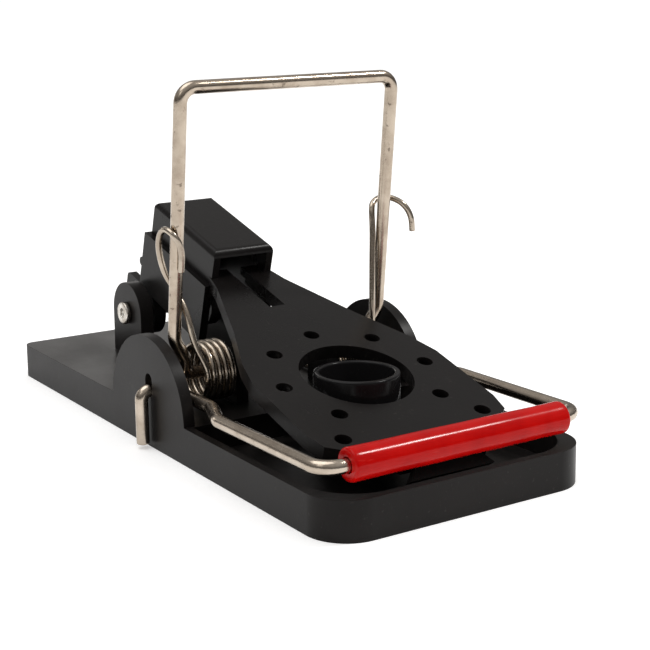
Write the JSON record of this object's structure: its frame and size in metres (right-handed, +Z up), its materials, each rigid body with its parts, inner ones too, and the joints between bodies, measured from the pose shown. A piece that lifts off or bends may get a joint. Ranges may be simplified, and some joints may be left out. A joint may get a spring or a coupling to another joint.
{
  "type": "snap mouse trap",
  "caption": "Plastic snap mouse trap: treadle on a rear pin, bait cup, spring-driven wire strike bow and a sleeved wire setting handle.",
  "frame": {"origin": "middle of the underside of the base", "axes": "+X to the trap's width, -Y to the front where the red handle lies, +Z up"},
  "size_m": [0.0552, 0.113, 0.0632],
  "materials": {
    "black_plastic": "satin moulded black plastic, fine grain",
    "cup_plastic": "glossy moulded black plastic",
    "treadle_plastic": "satin moulded black plastic",
    "pin_steel": "plain bright steel",
    "bow_steel": "bright nickel-plated wire with draw marks",
    "spring_steel": "bright spring wire",
    "handle_steel": "bright nickel-plated wire",
    "red_plastic": "glossy red plastic tube"
  },
  "bodies": {
    "base": {"base": "black_plastic", "bait_cup": "cup_plastic", "treadle_pin": "pin_steel", "spring_left": "spring_steel", "spring_right": "spring_steel"},
    "treadle": {"treadle": "treadle_plastic"},
    "strike_bow": {"strike_bow": "bow_steel"},
    "handle": {"handle_bow": "handle_steel", "handle_sleeve": "red_plastic"}
  },
  "joints": [
    {"name": "strike_hinge", "type": "hinge", "parent": "base", "child": "strike_bow", "pos_m": [0, -0.0021, 0.0125], "axis": [1, 0, 0], "range_deg": [0, 81.3], "deforming": ["spring_left", "spring_right"]},
    {"name": "treadle_hinge", "type": "hinge", "parent": "base", "child": "treadle", "pos_m": [0, 0.036, 0.015], "axis": [1, 0, 0], "range_deg": [0, 1.7]},
    {"name": "handle_hinge", "type": "hinge", "parent": "base", "child": "handle", "pos_m": [0, 0, 0.0101], "axis": [-1, 0, 0], "range_deg": [0, 52]}
  ]
}
